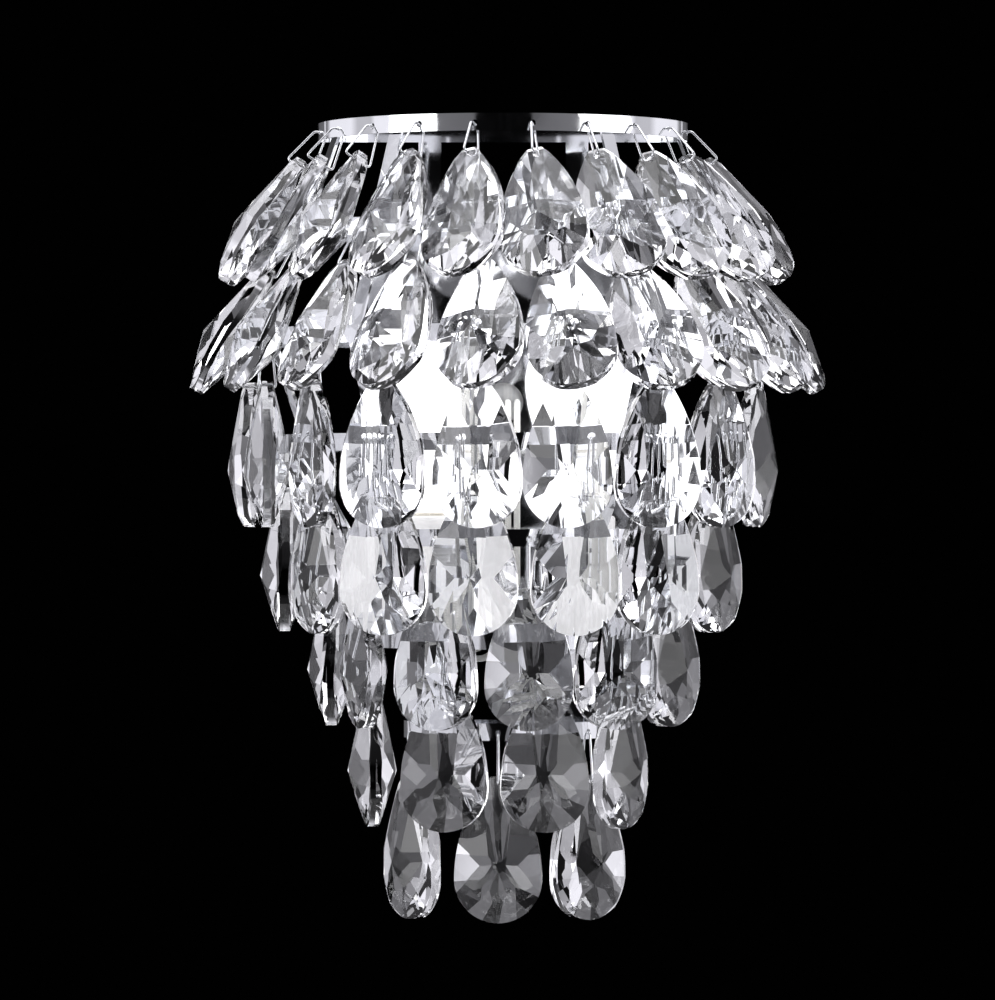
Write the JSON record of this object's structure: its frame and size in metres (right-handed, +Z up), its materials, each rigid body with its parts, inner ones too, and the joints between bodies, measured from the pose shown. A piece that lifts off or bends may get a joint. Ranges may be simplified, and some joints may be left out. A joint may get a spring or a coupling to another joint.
{
  "type": "crystal wall sconce",
  "caption": "Half-round basket of chrome hoops hung with rows of faceted glass drops round upright lamps, on a slim wall pan.",
  "frame": {"origin": "centre of the mounting strap's back face, on the wall", "axes": "+Z up, -Y out of the wall towards the room, +X to the right for a person who faces the wall"},
  "size_m": [0.2226, 0.1243, 0.2795],
  "materials": {
    "chrome": "polished",
    "chrome_wire": "polished wire",
    "zinc_plated_steel": "zinc plated",
    "socket_plastic": "matte",
    "frosted_glass": "frosted",
    "lead_sleeve": "braided sleeve",
    "crystal_glass": "clear, faceted and polished"
  },
  "bodies": {
    "frame": {"wall_pan": "chrome", "mounting_strap": "zinc_plated_steel", "strap_studs": "zinc_plated_steel", "cap_nuts": "chrome", "hoops": "chrome", "uprights": "chrome", "hook_clips": "chrome_wire", "lamp_bracket": "chrome", "sockets": "socket_plastic", "bulbs": "frosted_glass", "lamp_leads": "lead_sleeve"},
    "drop_1_01_body": {"drop_1_01": "crystal_glass"},
    "drop_1_02_body": {"drop_1_02": "crystal_glass"},
    "drop_1_03_body": {"drop_1_03": "crystal_glass"},
    "drop_1_04_body": {"drop_1_04": "crystal_glass"},
    "drop_1_05_body": {"drop_1_05": "crystal_glass"},
    "drop_1_06_body": {"drop_1_06": "crystal_glass"},
    "drop_1_07_body": {"drop_1_07": "crystal_glass"},
    "drop_1_08_body": {"drop_1_08": "crystal_glass"},
    "drop_1_09_body": {"drop_1_09": "crystal_glass"},
    "drop_1_10_body": {"drop_1_10": "crystal_glass"},
    "drop_2_01_body": {"drop_2_01": "crystal_glass"},
    "drop_2_02_body": {"drop_2_02": "crystal_glass"},
    "drop_2_03_body": {"drop_2_03": "crystal_glass"},
    "drop_2_04_body": {"drop_2_04": "crystal_glass"},
    "drop_2_05_body": {"drop_2_05": "crystal_glass"},
    "drop_2_06_body": {"drop_2_06": "crystal_glass"},
    "drop_2_07_body": {"drop_2_07": "crystal_glass"},
    "drop_2_08_body": {"drop_2_08": "crystal_glass"},
    "drop_2_09_body": {"drop_2_09": "crystal_glass"},
    "drop_2_10_body": {"drop_2_10": "crystal_glass"},
    "drop_3_01_body": {"drop_3_01": "crystal_glass"},
    "drop_3_02_body": {"drop_3_02": "crystal_glass"},
    "drop_3_03_body": {"drop_3_03": "crystal_glass"},
    "drop_3_04_body": {"drop_3_04": "crystal_glass"},
    "drop_3_05_body": {"drop_3_05": "crystal_glass"},
    "drop_3_06_body": {"drop_3_06": "crystal_glass"},
    "drop_3_07_body": {"drop_3_07": "crystal_glass"},
    "drop_3_08_body": {"drop_3_08": "crystal_glass"},
    "drop_3_09_body": {"drop_3_09": "crystal_glass"},
    "drop_4_01_body": {"drop_4_01": "crystal_glass"},
    "drop_4_02_body": {"drop_4_02": "crystal_glass"},
    "drop_4_03_body": {"drop_4_03": "crystal_glass"},
    "drop_4_04_body": {"drop_4_04": "crystal_glass"},
    "drop_4_05_body": {"drop_4_05": "crystal_glass"},
    "drop_4_06_body": {"drop_4_06": "crystal_glass"},
    "drop_4_07_body": {"drop_4_07": "crystal_glass"},
    "drop_5_01_body": {"drop_5_01": "crystal_glass"},
    "drop_5_02_body": {"drop_5_02": "crystal_glass"},
    "drop_5_03_body": {"drop_5_03": "crystal_glass"},
    "drop_5_04_body": {"drop_5_04": "crystal_glass"},
    "drop_5_05_body": {"drop_5_05": "crystal_glass"},
    "drop_5_06_body": {"drop_5_06": "crystal_glass"},
    "drop_6_01_body": {"drop_6_01": "crystal_glass"},
    "drop_6_02_body": {"drop_6_02": "crystal_glass"},
    "drop_6_03_body": {"drop_6_03": "crystal_glass"},
    "drop_6_04_body": {"drop_6_04": "crystal_glass"},
    "drop_7_01_body": {"drop_7_01": "crystal_glass"},
    "drop_7_02_body": {"drop_7_02": "crystal_glass"},
    "drop_7_03_body": {"drop_7_03": "crystal_glass"}
  },
  "joints": [
    {"name": "swing_1_01", "type": "hinge", "parent": "frame", "child": "drop_1_01_body", "pos_m": [-0.07166, -0.02484, 0.08259], "axis": [-0.8351, 0.2096, 0.5085], "range_deg": [-1.5, 3]},
    {"name": "swing_1_02", "type": "hinge", "parent": "frame", "child": "drop_1_02_body", "pos_m": [-0.06394, -0.04559, 0.08259], "axis": [-0.8596, -0.0497, 0.5085], "range_deg": [-1.5, 3]},
    {"name": "swing_1_03", "type": "hinge", "parent": "frame", "child": "drop_1_03_body", "pos_m": [-0.05037, -0.06308, 0.08259], "axis": [-0.8054, -0.3045, 0.5085], "range_deg": [-1.5, 3]},
    {"name": "swing_1_04", "type": "hinge", "parent": "frame", "child": "drop_1_04_body", "pos_m": [-0.03219, -0.07572, 0.08259], "axis": [-0.6775, -0.5314, 0.5085], "range_deg": [-1.5, 3]},
    {"name": "swing_1_05", "type": "hinge", "parent": "frame", "child": "drop_1_05_body", "pos_m": [-0.01107, -0.08234, 0.08259], "axis": [-0.4876, -0.7097, 0.5085], "range_deg": [-1.5, 3]},
    {"name": "swing_1_06", "type": "hinge", "parent": "frame", "child": "drop_1_06_body", "pos_m": [0.01107, -0.08234, 0.08259], "axis": [-0.253, -0.823, 0.5085], "range_deg": [-1.5, 3]},
    {"name": "swing_1_07", "type": "hinge", "parent": "frame", "child": "drop_1_07_body", "pos_m": [0.03219, -0.07572, 0.08259], "axis": [0.0047, -0.861, 0.5085], "range_deg": [-1.5, 3]},
    {"name": "swing_1_08", "type": "hinge", "parent": "frame", "child": "drop_1_08_body", "pos_m": [0.05037, -0.06308, 0.08259], "axis": [0.2619, -0.8202, 0.5085], "range_deg": [-1.5, 3]},
    {"name": "swing_1_09", "type": "hinge", "parent": "frame", "child": "drop_1_09_body", "pos_m": [0.06394, -0.04559, 0.08259], "axis": [0.4952, -0.7044, 0.5085], "range_deg": [-1.5, 3]},
    {"name": "swing_1_10", "type": "hinge", "parent": "frame", "child": "drop_1_10_body", "pos_m": [0.07166, -0.02484, 0.08259], "axis": [0.6832, -0.524, 0.5085], "range_deg": [-1.5, 3]},
    {"name": "swing_2_01", "type": "hinge", "parent": "frame", "child": "drop_2_01_body", "pos_m": [-0.08235, -0.03346, 0.04466], "axis": [-0.8565, 0.0773, 0.5104], "range_deg": [-3, 4]},
    {"name": "swing_2_02", "type": "hinge", "parent": "frame", "child": "drop_2_02_body", "pos_m": [-0.07156, -0.05701, 0.04466], "axis": [-0.8404, -0.1823, 0.5104], "range_deg": [-3, 4]},
    {"name": "swing_2_03", "type": "hinge", "parent": "frame", "child": "drop_2_03_body", "pos_m": [-0.05423, -0.07626, 0.04466], "axis": [-0.7474, -0.4253, 0.5104], "range_deg": [-3, 4]},
    {"name": "swing_2_04", "type": "hinge", "parent": "frame", "child": "drop_2_04_body", "pos_m": [-0.03194, -0.08944, 0.04466], "axis": [-0.586, -0.6293, 0.5104], "range_deg": [-3, 4]},
    {"name": "swing_2_05", "type": "hinge", "parent": "frame", "child": "drop_2_05_body", "pos_m": [-0.00672, -0.09536, 0.04466], "axis": [-0.371, -0.7758, 0.5104], "range_deg": [-3, 4]},
    {"name": "swing_2_06", "type": "hinge", "parent": "frame", "child": "drop_2_06_body", "pos_m": [0.01912, -0.09346, 0.04466], "axis": [-0.1221, -0.8512, 0.5104], "range_deg": [-3, 4]},
    {"name": "swing_2_07", "type": "hinge", "parent": "frame", "child": "drop_2_07_body", "pos_m": [0.0432, -0.08393, 0.04466], "axis": [0.1381, -0.8488, 0.5104], "range_deg": [-3, 4]},
    {"name": "swing_2_08", "type": "hinge", "parent": "frame", "child": "drop_2_08_body", "pos_m": [0.06333, -0.06763, 0.04466], "axis": [0.3856, -0.7687, 0.5104], "range_deg": [-3, 4]},
    {"name": "swing_2_09", "type": "hinge", "parent": "frame", "child": "drop_2_09_body", "pos_m": [0.07766, -0.04605, 0.04466], "axis": [0.5978, -0.6182, 0.5104], "range_deg": [-3, 4]},
    {"name": "swing_2_10", "type": "hinge", "parent": "frame", "child": "drop_2_10_body", "pos_m": [0.08489, -0.02118, 0.04466], "axis": [0.7963, -0.2973, 0.5268], "range_deg": [-3, 4]},
    {"name": "swing_3_01", "type": "hinge", "parent": "frame", "child": "drop_3_01_body", "pos_m": [-0.08878, -0.01621, 0.0046], "axis": [-0.9781, 0.2079, 0], "range_deg": [-2, 3]},
    {"name": "swing_3_02", "type": "hinge", "parent": "frame", "child": "drop_3_02_body", "pos_m": [-0.08223, -0.04406, 0.0046], "axis": [-0.9954, -0.0958, 0], "range_deg": [-2, 3]},
    {"name": "swing_3_03", "type": "hinge", "parent": "frame", "child": "drop_3_03_body", "pos_m": [-0.06562, -0.07013, 0.0046], "axis": [-0.9026, -0.4305, 0], "range_deg": [-2, 3]},
    {"name": "swing_3_04", "type": "hinge", "parent": "frame", "child": "drop_3_04_body", "pos_m": [-0.0411, -0.08894, 0.0046], "axis": [-0.3665, -0.9304, 0], "range_deg": [-2, 3]},
    {"name": "swing_3_05", "type": "hinge", "parent": "frame", "child": "drop_3_05_body", "pos_m": [-0.00884, -0.09856, 0.0046], "axis": [-0.2368, -0.9715, 0], "range_deg": [-2, 3]},
    {"name": "swing_3_06", "type": "hinge", "parent": "frame", "child": "drop_3_06_body", "pos_m": [0.02153, -0.09636, 0.0046], "axis": [0, -1, 0], "range_deg": [-2, 3]},
    {"name": "swing_3_07", "type": "hinge", "parent": "frame", "child": "drop_3_07_body", "pos_m": [0.05231, -0.082, 0.0046], "axis": [0.342, -0.9397, 0], "range_deg": [-2, 3]},
    {"name": "swing_3_08", "type": "hinge", "parent": "frame", "child": "drop_3_08_body", "pos_m": [0.07422, -0.05912, 0.0046], "axis": [0.6494, -0.7604, 0], "range_deg": [-2, 3]},
    {"name": "swing_3_09", "type": "hinge", "parent": "frame", "child": "drop_3_09_body", "pos_m": [0.08813, -0.02239, 0.0046], "axis": [0.9397, -0.342, 0], "range_deg": [-2, 3]},
    {"name": "swing_4_01", "type": "hinge", "parent": "frame", "child": "drop_4_01_body", "pos_m": [-0.07708, -0.0181, -0.0322], "axis": [-1, 0, 0], "range_deg": [-3, 3]},
    {"name": "swing_4_02", "type": "hinge", "parent": "frame", "child": "drop_4_02_body", "pos_m": [-0.06372, -0.05412, -0.0322], "axis": [-0.8221, -0.5693, 0], "range_deg": [-3, 3]},
    {"name": "swing_4_03", "type": "hinge", "parent": "frame", "child": "drop_4_03_body", "pos_m": [-0.04107, -0.07572, -0.0322], "axis": [-0.309, -0.9511, 0], "range_deg": [-3, 3]},
    {"name": "swing_4_04", "type": "hinge", "parent": "frame", "child": "drop_4_04_body", "pos_m": [-0.01038, -0.0868, -0.0322], "axis": [-0.134, -0.991, 0], "range_deg": [-3, 3]},
    {"name": "swing_4_05", "type": "hinge", "parent": "frame", "child": "drop_4_05_body", "pos_m": [0.02433, -0.08358, -0.0322], "axis": [0.1444, -0.9895, 0], "range_deg": [-3, 3]},
    {"name": "swing_4_06", "type": "hinge", "parent": "frame", "child": "drop_4_06_body", "pos_m": [0.05266, -0.06686, -0.0322], "axis": [0.4195, -0.9078, 0], "range_deg": [-3, 3]},
    {"name": "swing_4_07", "type": "hinge", "parent": "frame", "child": "drop_4_07_body", "pos_m": [0.07245, -0.03752, -0.0322], "axis": [0.7793, -0.6266, 0], "range_deg": [-3, 3]},
    {"name": "swing_5_01", "type": "hinge", "parent": "frame", "child": "drop_5_01_body", "pos_m": [-0.06033, -0.02194, -0.0652], "axis": [-0.9988, 0.0489, 0], "range_deg": [-3, 3]},
    {"name": "swing_5_02", "type": "hinge", "parent": "frame", "child": "drop_5_02_body", "pos_m": [-0.04853, -0.04778, -0.0652], "axis": [-0.9461, -0.3239, 0], "range_deg": [-3, 3]},
    {"name": "swing_5_03", "type": "hinge", "parent": "frame", "child": "drop_5_03_body", "pos_m": [-0.02324, -0.06694, -0.0652], "axis": [-0.4415, -0.8973, 0], "range_deg": [-3, 3]},
    {"name": "swing_5_04", "type": "hinge", "parent": "frame", "child": "drop_5_04_body", "pos_m": [0.00877, -0.07087, -0.0652], "axis": [-0.0663, -0.9978, 0], "range_deg": [-3, 3]},
    {"name": "swing_5_05", "type": "hinge", "parent": "frame", "child": "drop_5_05_body", "pos_m": [0.03845, -0.058, -0.0652], "axis": [0.3206, -0.9472, 0], "range_deg": [-3, 3]},
    {"name": "swing_5_06", "type": "hinge", "parent": "frame", "child": "drop_5_06_body", "pos_m": [0.05753, -0.03174, -0.0652], "axis": [0.7581, -0.6521, 0], "range_deg": [-3, 3]},
    {"name": "swing_6_01", "type": "hinge", "parent": "frame", "child": "drop_6_01_body", "pos_m": [-0.04629, -0.01816, -0.1009], "axis": [-0.9925, -0.1219, 0], "range_deg": [-5, 5]},
    {"name": "swing_6_02", "type": "hinge", "parent": "frame", "child": "drop_6_02_body", "pos_m": [-0.02046, -0.05232, -0.1009], "axis": [-0.2385, -0.9711, 0], "range_deg": [-5, 5]},
    {"name": "swing_6_03", "type": "hinge", "parent": "frame", "child": "drop_6_03_body", "pos_m": [0.01413, -0.05482, -0.1009], "axis": [0.1305, -0.9914, 0], "range_deg": [-5, 5]},
    {"name": "swing_6_04", "type": "hinge", "parent": "frame", "child": "drop_6_04_body", "pos_m": [0.04083, -0.03329, -0.1009], "axis": [0.8415, -0.5402, 0], "range_deg": [-5, 5]},
    {"name": "swing_7_01", "type": "hinge", "parent": "frame", "child": "drop_7_01_body", "pos_m": [-0.03197, -0.02424, -0.1329], "axis": [-0.829, -0.5592, 0], "range_deg": [-5, 5]},
    {"name": "swing_7_02", "type": "hinge", "parent": "frame", "child": "drop_7_02_body", "pos_m": [-0.00183, -0.04495, -0.1329], "axis": [-0.0523, -0.9986, 0], "range_deg": [-5, 5]},
    {"name": "swing_7_03", "type": "hinge", "parent": "frame", "child": "drop_7_03_body", "pos_m": [0.02935, -0.02906, -0.1329], "axis": [0.6018, -0.7986, 0], "range_deg": [-5, 5]}
  ]
}
